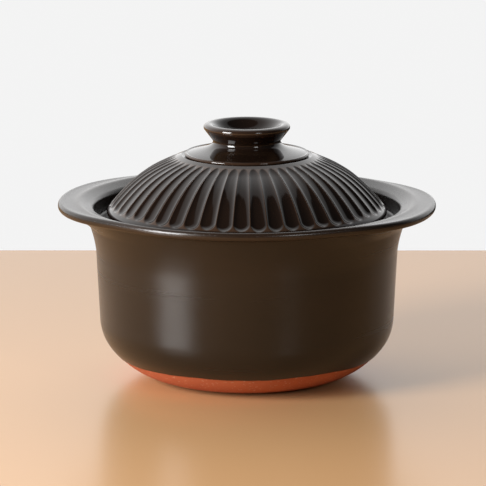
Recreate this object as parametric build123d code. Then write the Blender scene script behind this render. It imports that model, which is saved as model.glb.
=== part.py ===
from build123d import *
import math
import os

# A clay pot for cooking rice, with an outer lid, an inner lid and the knobs of both.
# Millimetres, +Z up. The origin is the centre of the foot, and X runs through the two ears.

# Pot wall, from the foot up. The clay has one thickness from the floor to the neck.
clay_wall = 9.0
foot_radius = 46.0
belly_radius = 59.0
belly_turn = 48.0
heel_radius = 25.0
wall_tilt = 2.4

# The pot is cut into level layers, and the lowest one ends this far above its floor
floor_layer_rise = 3.0

# Rim of the pot: a slab with a rounded edge, on a neck that flares towards it
crest_height = 116.5
rim_thickness = 6.0
rim_edge_flat = 0.3
rim_overhang = 5.23
neck_overlap = 1.5
neck_rise = 36.0
neck_flare = 6.6
neck_flare_power = 1.6

# Two ears that the rim is drawn out into, each with a root that sweeps out of the neck
ear_reach = 12.0
ear_spread = 36.0
ear_shape_power = 2.5
ear_root_rise = 20.0
ear_root_lead = 1.0
ear_root_power = 1.3

# How many points an outline round the pot has, and at which shares of each part of its height
# the outlines stand
outline_points = 72
foot_shares = (0, 0.04, 0.1, 0.2, 0.4, 0.6, 0.8, 1)
heel_shares = (0.33, 0.67, 1)
wall_shares = (0.33, 0.67, 1)
neck_shares = (0.12, 0.24, 0.35, 0.45, 0.56, 0.67, 0.78, 0.89, 1)

# Funnel from the crest of the rim down to the mouth, and the gutter at its foot
crest_inset = 1.4
crest_tilt = 6.0
crest_round = 12.0
funnel_tilt = 24.0
mouth_depth = 10.9
mouth_wall = 5.42
mouth_taper = 0.8
mouth_round = 3.5
gutter_round = 2.0

# Two ledges inside the mouth: the upper one carries the outer lid, the lower one the inner lid
upper_ledge_width = 12.0
lower_ledge_width = 7.0
lower_ledge_depth = 5.0
ledge_edge_round = 1.2

# Outer lid: a dome on a thick bead, with a short ring below that centres it in the mouth
gutter_width = 6.9
bead_rise = 3.4
bead_undercut = 1.7
bead_top_rise = 3.7
bead_shoulder = 2.7
dome_rise = 33.6
lid_crown_radius = 42.5
lid_crown_step = 0.8
lid_crown_tilt = 27.0
lid_crown_pull_share = 0.349
lid_foot_tilt = 49.4
lid_foot_pull_share = 0.523
lid_wall = 7.0
lid_ring_width = 4.2
lid_ring_drop = 2.5
lid_ring_clearance = 0.8
lid_inner_points = 8
halvings = 40

# Flutes carved round the dome
flute_count = 50
flute_turn = 2.1
flute_top_inset = 3.1
flute_bottom_inset = 0.1
flute_top_depth = 0.75
flute_bottom_depth = 1.7
flute_ridge_share = 0.05
flute_tip_share = 0.04
flute_stations = 7
flute_end_shares = (1, 0.93, 0.75, 0.4, 0)

# Inner lid: a flat disc that drops through the upper ledge onto the lower one
inner_lid_clearance = 0.7
inner_lid_thickness = 6.5
inner_lid_edge_round = 1.5
lids_gap = 1.0

# Steam holes, one in the outer lid and two in the inner lid
steam_hole_radius = 4.0
outer_hole_inset = 23.0
outer_hole_flute = 24
inner_hole_inset = 37.9
hole_overrun = 12.0

# Knob of the outer lid: a collar disc, a waist and a hollow flared top
collar_inset = 2.2
collar_foot_inset = 1.0
collar_edge_rise = 1.3
collar_edge_width = 0.8
collar_ridge_rise = 1.1
collar_ridge_width = 1.2
collar_groove_depth = 0.3
collar_rise_share = 0.3
collar_sweep_share = 0.43
waist_radius = 21.9
waist_rise = 8.0
waist_pull_share = 0.575
knob_under_reach = 4.5
knob_under_rise = 6.8
knob_roll_reach = 1.6
knob_roll_rise = 2.0
knob_under_share = 0.5
knob_crest_inset = 3.4
knob_crest_rise = 2.4
knob_round_share = 0.55
dish_depth = 9.0
dish_floor_radius = 8.0
dish_lip_share = 0.31
dish_floor_share = 0.63

# Knob of the inner lid
button_waist_radius = 9.0
button_foot_spread = 2.0
button_waist_rise = 6.0
button_flare_reach = 5.0
button_flare_rise = 6.5
button_cap_width = 8.0
button_cap_rise = 4.0

# Heights that follow from these sizes
rim_foot_height = crest_height - rim_thickness
neck_top_height = rim_foot_height + neck_overlap
neck_start_height = neck_top_height - neck_rise
ear_root_height = neck_top_height - ear_root_rise
upper_ledge_height = crest_height - mouth_depth
ledge_step = inner_lid_thickness + lids_gap + lid_ring_drop
lower_ledge_height = upper_ledge_height - ledge_step
throat_height = upper_ledge_height + gutter_round
lid_seat_height = upper_ledge_height
bead_height = lid_seat_height + bead_rise
lid_foot_height = bead_height + bead_top_rise
lid_crown_height = lid_foot_height + dome_rise
knob_foot_height = lid_crown_height - lid_crown_step
rim_edge_round = (rim_thickness - rim_edge_flat) / 2
ear_root_reach = ear_reach + ear_root_lead


def on_arc(centre_radius, centre_height, radius, degrees):
    """Point of a meridian arc, its angle counted from straight down towards outward."""
    angle = math.radians(degrees)
    return centre_radius + radius * math.sin(angle), centre_height - radius * math.cos(angle)


def body_profile(inset):
    """Centres and radii of the two arcs of the body, and where its wall starts, inset by so much."""
    belly_centre = (foot_radius, belly_radius)
    joint = on_arc(*belly_centre, belly_radius - heel_radius, belly_turn)
    belly = (*belly_centre, belly_radius - inset)
    heel = (*joint, heel_radius - inset)
    return belly, heel, on_arc(*heel, 90 - wall_tilt)


def wall_radius(height, inset):
    """Radius of the leaning wall at a height."""
    start_radius, start_height = body_profile(inset)[2]
    return start_radius + (height - start_height) * math.tan(math.radians(wall_tilt))


def neck_radius(height):
    """Outer radius from the wall up through the flaring neck, away from the ears."""
    share = max(0, (height - neck_start_height) / (neck_top_height - neck_start_height))
    return wall_radius(height, 0) + neck_flare * share**neck_flare_power


# Radii that follow from the wall and the neck
lip_radius = neck_radius(rim_foot_height) + rim_overhang
crest_radius = lip_radius - crest_inset
throat_radius = neck_radius(upper_ledge_height) - mouth_wall
mouth_radius = throat_radius + mouth_taper
upper_ledge_radius = throat_radius - upper_ledge_width
lower_ledge_radius = upper_ledge_radius - lower_ledge_width
bead_radius = throat_radius - gutter_width
bead_seat_radius = bead_radius - bead_undercut
lid_foot_radius = bead_radius - bead_shoulder
lid_ring_radius = upper_ledge_radius - lid_ring_clearance
flute_top_radius = lid_crown_radius + flute_top_inset
flute_bottom_radius = lid_foot_radius - flute_bottom_inset
outer_hole_radius = lid_foot_radius - outer_hole_inset
inner_lid_radius = upper_ledge_radius - inner_lid_clearance
inner_hole_place = inner_lid_radius - inner_hole_inset


def ear_root(height):
    """How far the underside of an ear stands out of the neck at a height."""
    share = max(0, (height - ear_root_height) / (neck_top_height - ear_root_height))
    return ear_root_reach * share**ear_root_power


def ear_shape(degrees):
    """One at the middle of an ear, falling to zero at the front and back."""
    from_ear = min(degrees % 180, 180 - degrees % 180)
    return math.exp(-((from_ear / ear_spread) ** ear_shape_power))


def outline(radius, reach, height):
    """Closed outline round the pot: a circle of one radius that reaches out at the two ears."""
    points, steps = [], [step * 360 / outline_points for step in range(outline_points)]
    for degrees in steps:
        far, angle = radius + reach * ear_shape(degrees), math.radians(degrees)
        points.append((far * math.cos(angle), far * math.sin(angle), height))
    places = [step / outline_points for step in range(outline_points + 1)]
    return Wire([Edge.make_spline(points, periodic=True, parameters=places)])


def pot_skin():
    """The outside of the pot below its rim, lofted through level outlines."""
    belly, heel, wall_start = body_profile(0)
    levels = [on_arc(*belly, belly_turn * share) for share in foot_shares]
    turn = 90 - wall_tilt - belly_turn
    levels += [on_arc(*heel, belly_turn + turn * share) for share in heel_shares]
    for low, high, shares in (
        (wall_start[1], neck_start_height, wall_shares),
        (neck_start_height, neck_top_height, neck_shares),
    ):
        heights = [low + (high - low) * share for share in shares]
        levels += [(neck_radius(height), height) for height in heights]
    skin = Solid.make_loft([outline(radius, ear_root(height), height) for radius, height in levels])
    below = Solid.make_cylinder(lip_radius + ear_reach, clay_wall, Plane.XY.offset(-clay_wall))
    return skin - below


def rim_slab():
    """The flat rim with its two ears, rounded all along its edge."""
    face = Face(outline(lip_radius, ear_reach, rim_foot_height))
    slab = Solid.extrude(face, (0, 0, rim_thickness))
    edges = [edge for edge in slab.edges() if edge.is_closed]
    return slab.fillet(rim_edge_round, edges)


def cooking_space():
    """The hollow from the floor up to the lower ledge, one clay wall inside the outside."""
    belly, heel, wall_start = body_profile(clay_wall)
    undercut = lower_ledge_height - lower_ledge_depth
    undercut_start = undercut - (wall_radius(undercut, clay_wall) - lower_ledge_radius)
    lip = lower_ledge_radius + ledge_edge_round
    corner = ledge_edge_round * math.sqrt(1 / 2)
    belly_end = on_arc(*belly, belly_turn)
    heel_middle = on_arc(*heel, (belly_turn + 90 - wall_tilt) / 2)
    with BuildLine(Plane.XZ) as line:
        Polyline((0, lower_ledge_height), (0, clay_wall), (foot_radius, clay_wall))
        ThreePointArc((foot_radius, clay_wall), on_arc(*belly, belly_turn / 2), belly_end)
        ThreePointArc(belly_end, heel_middle, wall_start)
        Polyline(
            wall_start,
            (wall_radius(undercut_start, clay_wall), undercut_start),
            (lower_ledge_radius, undercut),
            (lower_ledge_radius, lower_ledge_height - ledge_edge_round),
        )
        ThreePointArc(
            (lower_ledge_radius, lower_ledge_height - ledge_edge_round),
            (lip - corner, lower_ledge_height - ledge_edge_round + corner),
            (lip, lower_ledge_height),
        )
        Line((lip, lower_ledge_height), (0, lower_ledge_height))
    return revolve(make_face(line.edges()), Axis.Z)


def mouth():
    """The open mouth above the cooking space: lower ledge, upper ledge, gutter and funnel."""
    slope, tilt = math.radians(crest_tilt), math.radians(funnel_tilt)
    crest_centre = (
        crest_radius + crest_round * math.sin(slope),
        crest_height - crest_round * math.cos(slope),
    )

    def crest(degrees):
        return on_arc(*crest_centre, crest_round, 180 + degrees)

    funnel_top = crest(funnel_tilt)
    funnel_end = mouth_radius + mouth_round * (1 - math.sin(tilt))
    funnel_end_height = funnel_top[1] - (funnel_top[0] - funnel_end) * math.tan(tilt)
    mouth_centre = (mouth_radius + mouth_round, funnel_end_height - mouth_round * math.cos(tilt))
    mouth_middle = on_arc(*mouth_centre, mouth_round, 180 + (funnel_tilt + 90) / 2)
    gutter_centre = (throat_radius - gutter_round, upper_ledge_height + gutter_round)
    outer_end = crest(-crest_tilt)
    above = crest_height + rim_thickness
    with BuildLine(Plane.XZ) as line:
        Polyline(
            (0, above),
            (0, lower_ledge_height),
            (upper_ledge_radius, lower_ledge_height),
            (upper_ledge_radius, upper_ledge_height),
            (gutter_centre[0], upper_ledge_height),
        )
        ThreePointArc(
            (gutter_centre[0], upper_ledge_height),
            on_arc(*gutter_centre, gutter_round, 45),
            (throat_radius, throat_height),
        )
        Line((throat_radius, throat_height), (mouth_radius, mouth_centre[1]))
        ThreePointArc((mouth_radius, mouth_centre[1]), mouth_middle, (funnel_end, funnel_end_height))
        Line((funnel_end, funnel_end_height), funnel_top)
        ThreePointArc(funnel_top, crest((funnel_tilt - crest_tilt) / 2), outer_end)
        Polyline(outer_end, (outer_end[0], above), (0, above))
    return revolve(make_face(line.edges()), Axis.Z)


def pot():
    """The pot in one piece with its rim, its ears and the two ledges in its mouth."""
    return pot_skin() + rim_slab() - cooking_space() - mouth()


def pot_layer(low, high):
    """The pot between two heights. Its layers are face to face and stand for one fired piece."""
    layer = Solid.make_cylinder(lip_radius + 2 * ear_reach, high - low, Plane.XY.offset(low))
    return whole_pot & layer


def bezier(points, place):
    """Point and unit tangent of a cubic curve in the meridian plane."""
    weights = ((1 - place) ** 3, 3 * (1 - place) ** 2 * place, 3 * (1 - place) * place**2, place**3)
    spot = [sum(weight * point[axis] for weight, point in zip(weights, points)) for axis in (0, 1)]
    legs = [(b[0] - a[0], b[1] - a[1]) for a, b in zip(points, points[1:])]
    shares = ((1 - place) ** 2, 2 * (1 - place) * place, place**2)
    run = [sum(share * leg[axis] for share, leg in zip(shares, legs)) for axis in (0, 1)]
    length = math.hypot(*run)
    return spot, (run[0] / length, run[1] / length)


def dome_curve():
    """Control points of the dome's meridian, from its crown out to its foot."""
    crown, foot = math.radians(lid_crown_tilt), math.radians(lid_foot_tilt)
    span = math.hypot(lid_foot_radius - lid_crown_radius, dome_rise)
    crown_pull, foot_pull = span * lid_crown_pull_share, span * lid_foot_pull_share
    return (
        (lid_crown_radius, lid_crown_height),
        (
            lid_crown_radius + crown_pull * math.cos(crown),
            lid_crown_height - crown_pull * math.sin(crown),
        ),
        (
            lid_foot_radius - foot_pull * math.cos(foot),
            lid_foot_height + foot_pull * math.sin(foot),
        ),
        (lid_foot_radius, lid_foot_height),
    )


def dome_at(radius):
    """Place on the dome's meridian where it has a given radius, found by halving."""
    low, high = 0, 1
    for _ in range(halvings):
        middle = (low + high) / 2
        if bezier(dome_curve(), middle)[0][0] < radius:
            low = middle
        else:
            high = middle
    return middle


def lid_foot():
    """The lid below its flutes: the thick bead and the solid under the carved band."""
    spot, run = bezier(dome_curve(), dome_at(flute_bottom_radius))
    ring_foot = lid_seat_height - lid_ring_drop
    with BuildLine(Plane.XZ) as line:
        Polyline((0, spot[1]), tuple(spot))
        ThreePointArc(tuple(spot), (bead_radius, bead_height), (bead_seat_radius, lid_seat_height))
        Polyline(
            (bead_seat_radius, lid_seat_height),
            (lid_ring_radius, lid_seat_height),
            (lid_ring_radius, ring_foot),
            (0, ring_foot),
            (0, spot[1]),
        )
    return revolve(make_face(line.edges()), Axis.Z)


def lid_crown():
    """The lid above its flutes: a plain band and the flat seat of the knob's collar."""
    curve = dome_curve()
    end = dome_at(flute_top_radius)
    spot = tuple(bezier(curve, end)[0])
    seat_edge = (lid_crown_radius - lid_crown_step, knob_foot_height)
    with BuildLine(Plane.XZ) as line:
        Polyline((0, knob_foot_height), seat_edge, curve[0])
        ThreePointArc(curve[0], tuple(bezier(curve, end / 2)[0]), spot)
        Polyline(spot, (0, spot[1]), (0, knob_foot_height))
    return revolve(make_face(line.edges()), Axis.Z)


def lid_hollow():
    """The hollow under the dome, one wall thickness below it."""
    curve = dome_curve()
    ring_inner = lid_ring_radius - lid_ring_width
    ring_foot = lid_seat_height - lid_ring_drop
    ceiling = knob_foot_height - lid_wall
    inner = []
    for step in range(lid_inner_points):
        spot, run = bezier(curve, step / (lid_inner_points - 1))
        inner.append((spot[0] + run[1] * lid_wall, spot[1] - run[0] * lid_wall))
    inner = [point for point in inner if point[0] < ring_inner - lid_wall / 2]
    with BuildLine(Plane.XZ) as line:
        Polyline((0, ceiling), (0, ring_foot - lid_wall), (ring_inner, ring_foot - lid_wall))
        Line((ring_inner, ring_foot - lid_wall), (ring_inner, ring_foot))
        Spline(
            (ring_inner, ring_foot),
            *reversed(inner),
            (0, ceiling),
            tangents=((0, 1), (-1, 0)),
        )
    return revolve(make_face(line.edges()), Axis.Z)


def flute_places():
    """Places along the meridian from the flutes' lower ends up, each with its share of full width."""
    pitch_share = 2 * math.pi / flute_count
    places = []
    for end_radius, inward in ((flute_bottom_radius, -1), (flute_top_radius, 1)):
        end = dome_at(end_radius)
        run = bezier(dome_curve(), end)[1]
        half_width = end_radius * pitch_share / 2
        ends = [
            (dome_at(end_radius + inward * half_width * (1 - share) * run[0]), share)
            for share in flute_end_shares
        ]
        places.append(ends)
    lower, upper = places
    low, high = lower[-1][0], upper[-1][0]
    middle = [
        (low + (high - low) * step / flute_stations, 0) for step in range(1, flute_stations)
    ]
    return lower + middle + upper[::-1]


def fluted_outline(place, share):
    """Level outline of the dome at a place: a hollow for each flute and a narrow ridge between."""
    (radius, height), run = bezier(dome_curve(), place)
    done = (radius - flute_top_radius) / (flute_bottom_radius - flute_top_radius)
    depth = flute_top_depth + (flute_bottom_depth - flute_top_depth) * done
    valley = radius - depth * (1 - share**2) / -run[1]
    pitch = 2 * math.pi / flute_count
    half_hollow = pitch / 2 * (1 - flute_ridge_share) * max(flute_tip_share, math.sqrt(1 - share**2))
    edges = []

    def spot(angle, far):
        return far * math.cos(angle), far * math.sin(angle), height

    for number in range(flute_count):
        middle = math.radians(flute_turn - 90) + (number + 1 / 2) * pitch
        start, end, after = middle - half_hollow, middle + half_hollow, middle + pitch - half_hollow
        edges.append(
            Edge.make_three_point_arc(spot(start, radius), spot(middle, valley), spot(end, radius))
        )
        edges.append(
            Edge.make_three_point_arc(
                spot(end, radius), spot((end + after) / 2, radius), spot(after, radius)
            )
        )
    return Wire(edges)


def fluted_dome():
    """The carved band of the dome as a solid down to its own base plane."""
    return Solid.make_loft([fluted_outline(*station) for station in flute_places()])


def outer_lid():
    """The outer lid with its flutes and its steam hole."""
    spot, run = bezier(dome_curve(), dome_at(outer_hole_radius))
    plane = Plane(origin=(spot[0], 0, spot[1]), z_dir=(-run[1], 0, run[0]))
    hole = Solid.make_cylinder(steam_hole_radius, 2 * hole_overrun, plane.offset(-hole_overrun))
    turn = flute_turn - 90 + (outer_hole_flute + 1 / 2) * 360 / flute_count
    solid = lid_foot() + fluted_dome() + lid_crown()
    return solid - lid_hollow() - hole.rotate(Axis.Z, turn)


def outer_lid_knob():
    """The knob with its collar disc, hollow on top."""
    collar_radius = lid_crown_radius - collar_inset
    foot = (collar_radius - collar_foot_inset, knob_foot_height)
    edge = (collar_radius, knob_foot_height + collar_edge_rise)
    ridge = (collar_radius - collar_edge_width, edge[1] + collar_ridge_rise)
    inner = (ridge[0] - collar_ridge_width, ridge[1] - collar_groove_depth)
    waist = (waist_radius, inner[1] + waist_rise)
    under = (waist[0] + knob_under_reach, waist[1] + knob_under_rise)
    roll = (under[0] + knob_roll_reach, under[1] + knob_roll_rise)
    crest = (roll[0] - knob_crest_inset, roll[1] + knob_crest_rise)
    floor = (dish_floor_radius, crest[1] - dish_depth)
    sweep, dish = inner[0] - waist[0], crest[0] - floor[0]
    flare = math.hypot(knob_under_reach, knob_under_rise)
    bend = knob_roll_rise * knob_under_share
    with BuildLine(Plane.XZ) as line:
        Polyline((0, floor[1]), (0, knob_foot_height), foot)
        ThreePointArc(foot, edge, ridge)
        Line(ridge, inner)
        Bezier(
            inner,
            (inner[0] - sweep * collar_sweep_share, inner[1] + waist_rise * collar_rise_share),
            (waist[0], waist[1] - waist_rise * waist_pull_share),
            waist,
        )
        Line(waist, under)
        Bezier(
            under,
            (
                under[0] + bend * knob_under_reach / flare,
                under[1] + bend * knob_under_rise / flare,
            ),
            (roll[0], roll[1] - bend),
            roll,
        )
        Bezier(
            roll,
            (roll[0], roll[1] + knob_crest_rise * knob_round_share),
            (crest[0] + knob_crest_inset * knob_round_share, crest[1]),
            crest,
        )
        Bezier(
            crest,
            (crest[0] - dish * dish_lip_share, crest[1]),
            (floor[0] + dish * dish_floor_share, floor[1]),
            floor,
        )
        Line(floor, (0, floor[1]))
    return revolve(make_face(line.edges()), Axis.Z)


def inner_lid():
    """The flat inner lid with two steam holes."""
    lift = Plane.XY.offset(lower_ledge_height)
    disc = Solid.make_cylinder(inner_lid_radius, inner_lid_thickness, lift)
    disc = disc.fillet(inner_lid_edge_round, disc.edges().filter_by(GeomType.CIRCLE))
    for side in (-1, 1):
        base = Plane.XY.offset(lower_ledge_height - hole_overrun)
        hole = Solid.make_cylinder(steam_hole_radius, 2 * hole_overrun, base)
        disc = disc - hole.moved(Location((0, side * inner_hole_place, 0)))
    return disc


def inner_lid_knob():
    """The button that lifts the inner lid."""
    foot = (button_waist_radius + button_foot_spread, lower_ledge_height + inner_lid_thickness)
    waist = (button_waist_radius, foot[1] + button_waist_rise)
    widest = (waist[0] + button_flare_reach, waist[1] + button_flare_rise)
    cap = (widest[0] - button_cap_width, widest[1] + button_cap_rise)
    with BuildLine(Plane.XZ) as line:
        Polyline((0, cap[1]), (0, foot[1]), foot)
        Spline(foot, waist, widest, cap, tangents=((-1, 2), (-1, 0)))
        Line(cap, (0, cap[1]))
    return revolve(make_face(line.edges()), Axis.Z)


os.makedirs("parts", exist_ok=True)
whole_pot = pot()
floor_layer_height = clay_wall + floor_layer_rise
heel_layer_height = on_arc(*body_profile(clay_wall)[0], belly_turn)[1]
pieces = {
    "pot_floor": pot_layer(0, floor_layer_height),
    "pot_heel": pot_layer(floor_layer_height, heel_layer_height),
    "pot_wall": pot_layer(heel_layer_height, neck_start_height),
    "pot_rim": pot_layer(neck_start_height, crest_height),
    "outer_lid": outer_lid(),
    "outer_lid_knob": outer_lid_knob(),
    "inner_lid": inner_lid(),
    "inner_lid_knob": inner_lid_knob(),
}
for name, piece in pieces.items():
    export_step(piece, f"parts/{name}.step")
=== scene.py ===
import logging
import math
from dataclasses import dataclass, field
from enum import Enum

import bpy
import numpy as np
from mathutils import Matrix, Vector


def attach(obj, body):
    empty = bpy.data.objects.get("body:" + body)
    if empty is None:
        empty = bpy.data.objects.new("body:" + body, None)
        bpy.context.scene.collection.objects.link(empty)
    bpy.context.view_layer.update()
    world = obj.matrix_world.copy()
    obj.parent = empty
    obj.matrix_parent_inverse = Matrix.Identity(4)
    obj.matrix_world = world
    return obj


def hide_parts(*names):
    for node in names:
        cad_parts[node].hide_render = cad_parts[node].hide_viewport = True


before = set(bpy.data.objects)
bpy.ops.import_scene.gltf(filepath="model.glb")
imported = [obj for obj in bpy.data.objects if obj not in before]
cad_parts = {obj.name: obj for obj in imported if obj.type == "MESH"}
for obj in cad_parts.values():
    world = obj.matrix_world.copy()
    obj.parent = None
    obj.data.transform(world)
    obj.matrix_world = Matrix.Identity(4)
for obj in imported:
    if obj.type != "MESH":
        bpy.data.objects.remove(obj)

# A black-glazed clay pot for cooking rice, with a fluted outer lid and a flat inner lid.
# Sizes of the pieces are written in millimetres and turned into metres when a mesh is made,
# and the studio's sizes are in metres. Angles are in degrees. A field whose name ends in
# "thin" says how thin the glaze runs there, from 0 to 1, and one that ends in "rows" or
# "columns" counts those of a mesh. On the pot's crest the lighter thin band is also a
# painted highlight line.
MM = 0.001
# Angles in degrees above which an edge stays sharp, on the large pieces and on the knobs.
BODY_CREASE = 50.0
KNOB_CREASE = 60.0
# Columns round the cutter of a steam hole.
HOLE_COLUMNS = 48
LOG = logging.getLogger("rice_pot")

Colour = tuple[float, float, float]
Spot = tuple[float, float]


class Slot(Enum):
    """Material slots of the record."""

    POT = "pot_glaze"
    LID = "lid_glaze"
    INNER = "inner_glaze"


class Body(Enum):
    """Bodies that move on their own."""

    POT = "pot"
    INNER = "inner"
    OUTER = "outer"


class Surface(Enum):
    """Which finish a band of a skin takes, by its place in the piece's list of materials."""

    GLAZE = 0
    CLAY = 1


def linear(red: int, green: int, blue: int) -> Colour:
    """Turns a colour as seen on a screen into the linear values that a shader takes.

    Args:
        red: Red from 0 to 255.
        green: Green from 0 to 255.
        blue: Blue from 0 to 255.

    Returns:
        The linear colour.
    """
    levels = [level / 255 for level in (red, green, blue)]
    return tuple(x / 12.92 if x <= 0.04045 else ((x + 0.055) / 1.055) ** 2.4 for x in levels)


def arc(centre: Spot, radius: float, start: float, end: float, steps: int) -> np.ndarray:
    """Samples an arc of a meridian.

    Args:
        centre: Radius and height of its centre.
        radius: Its radius.
        start: Start angle in degrees, counted from straight down towards outward.
        end: End angle in degrees.
        steps: How many points, both ends included.

    Returns:
        One row of radius and height for each point.
    """
    turn = np.radians(np.linspace(start, end, steps))
    return np.stack([centre[0] + radius * np.sin(turn), centre[1] - radius * np.cos(turn)], 1)


def bezier(points: list[Spot], count: int) -> np.ndarray:
    """Samples a quadratic or cubic curve of a meridian.

    Args:
        points: Its three or four control points.
        count: How many points to take, both ends included.

    Returns:
        One row of radius and height for each point.
    """
    degree = len(points) - 1
    places = np.linspace(0, 1, count)
    total = np.zeros((count, 2))
    for number, point in enumerate(points):
        weight = math.comb(degree, number) * places**number * (1 - places) ** (degree - number)
        total += weight[:, None] * np.array(point)
    return total


def soft_positive(value: np.ndarray, softness: float) -> np.ndarray:
    """Keeps what is above zero and rounds the corner at zero.

    Args:
        value: The values.
        softness: How wide the rounded corner is.

    Returns:
        The values with what is below zero brought softly to zero.
    """
    return (value + np.sqrt(value**2 + softness**2)) / 2


def around(count: int) -> np.ndarray:
    """Returns the angles in radians of evenly spread columns."""
    return np.radians(np.arange(count) * 360 / count)


@dataclass
class Skin:
    """A closed skin of level rings, from the axis under a piece round to the axis above it."""

    angles: np.ndarray
    radii: list[np.ndarray] = field(default_factory=list)
    heights: list[np.ndarray] = field(default_factory=list)
    surfaces: list[int] = field(default_factory=list)
    thins: list[np.ndarray] = field(default_factory=list)

    def ring(
        self,
        radius: float | np.ndarray,
        height: float | np.ndarray,
        surface: Surface = Surface.GLAZE,
        thin: float | np.ndarray = 0.0,
    ) -> None:
        """Adds one ring.

        Args:
            radius: Its radius, one for all or one for each angle.
            height: Its height, one for all or one for each angle.
            surface: Finish of the band above it.
            thin: How thin the glaze is there, from 0 to 1.
        """
        flat = np.zeros(len(self.angles))
        self.radii.append(flat + radius)
        self.heights.append(flat + height)
        self.surfaces.append(surface.value)
        self.thins.append(flat + thin)

    def path(
        self,
        points: np.ndarray | list[Spot],
        surface: Surface = Surface.GLAZE,
        thin: float = 0.0,
    ) -> None:
        """Adds a ring for each point of a meridian.

        Args:
            points: Rows of radius and height.
            surface: Finish of the band above each.
            thin: How thin the glaze is there, from 0 to 1.
        """
        for radius, height in points:
            self.ring(radius, height, surface, thin)

    def disc(
        self,
        radius: float,
        height: float,
        shares: tuple[float, ...],
        surface: Surface = Surface.GLAZE,
    ) -> None:
        """Adds the rings of a flat face round the axis.

        Args:
            radius: Radius of the face.
            height: Its height.
            shares: Where its rings lie, as shares of the radius.
            surface: Its finish.
        """
        for share in shares:
            self.ring(radius * share, height, surface)

    def points(self) -> np.ndarray:
        """Works out the place of every point.

        Returns:
            One row of x, y and z in metres for each point, the two ends on the axis last.
        """
        radii, heights = np.array(self.radii), np.array(self.heights)
        x, y = radii * np.cos(self.angles), radii * np.sin(self.angles)
        rings = np.stack([x, y, heights], 2).reshape(-1, 3)
        ends = [(0, 0, heights[0].mean()), (0, 0, heights[-1].mean())]
        return np.vstack([rings, ends]) * MM

    def piece(self, name: str, materials: list[bpy.types.Material]) -> bpy.types.Object:
        """Makes the closed mesh.

        Args:
            name: Name of the piece.
            materials: Its materials, in the order of Surface.

        Returns:
            The new object, linked into the scene.
        """
        rows, columns = len(self.radii), len(self.angles)
        here = np.arange(columns)
        after = (here + 1) % columns
        quads = [
            np.stack([row * columns + here, row * columns + after,
                      (row + 1) * columns + after, (row + 1) * columns + here], 1)
            for row in range(rows - 1)
        ]
        low, high = rows * columns, rows * columns + 1
        last = (rows - 1) * columns
        fans = [(low, int(b), int(a)) for a, b in zip(here, after)]
        fans += [(high, int(last + a), int(last + b)) for a, b in zip(here, after)]
        mesh = bpy.data.meshes.new(name)
        mesh.from_pydata(self.points().tolist(), [], np.vstack(quads).tolist() + fans)
        indices = np.repeat(self.surfaces[:-1], columns).tolist()
        indices += [self.surfaces[0]] * columns + [self.surfaces[-1]] * columns
        mesh.polygons.foreach_set("material_index", indices)
        thin = mesh.attributes.new("thin_glaze_and_sheen", "FLOAT", "POINT")
        ends = [self.thins[0].mean(), self.thins[-1].mean()]
        thin.data.foreach_set("value", np.append(np.array(self.thins).ravel(), ends))
        for material in materials:
            mesh.materials.append(material)
        mesh.shade_smooth()
        made = bpy.data.objects.new(name, mesh)
        bpy.context.scene.collection.objects.link(made)
        return made


def cut(piece: bpy.types.Object, cutter: bpy.types.Object) -> None:
    """Cuts one mesh out of another for good.

    Args:
        piece: The piece that is cut.
        cutter: The closed mesh that is taken away and then deleted.
    """
    modifier = piece.modifiers.new("cut", "BOOLEAN")
    modifier.object = cutter
    modifier.operation = "DIFFERENCE"
    modifier.solver = "EXACT"
    bpy.context.view_layer.update()
    seen = piece.evaluated_get(bpy.context.evaluated_depsgraph_get())
    mesh = bpy.data.meshes.new_from_object(seen)
    piece.modifiers.clear()
    piece.data = mesh
    mesh.name = piece.name
    bpy.data.objects.remove(cutter)


def settle(
    piece: bpy.types.Object, body: Body, slot: Slot, crease: float, *nodes: str
) -> None:
    """Finishes a piece: sharp creases, its body and the solid it stands for.

    Args:
        piece: The piece.
        body: Body that it rides on.
        slot: Record slot of its finish; not used.
        crease: Angle in degrees above which an edge stays sharp.
        nodes: CAD nodes that it replaces.
    """
    piece.data.set_sharp_from_angle(angle=math.radians(crease))
    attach(piece, body.value)
    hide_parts(*nodes)
    LOG.info("%s: %d faces on body %s", piece.name, len(piece.data.polygons), body.value)


def fill(node: bpy.types.Node, **values: object) -> bpy.types.Node:
    """Sets the inputs of a shader node.

    Args:
        node: The node.
        values: Input names, with an underscore for a space, and their values.

    Returns:
        The node.
    """
    for name, value in values.items():
        node.inputs[name.replace("_", " ")].default_value = value
    return node


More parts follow.
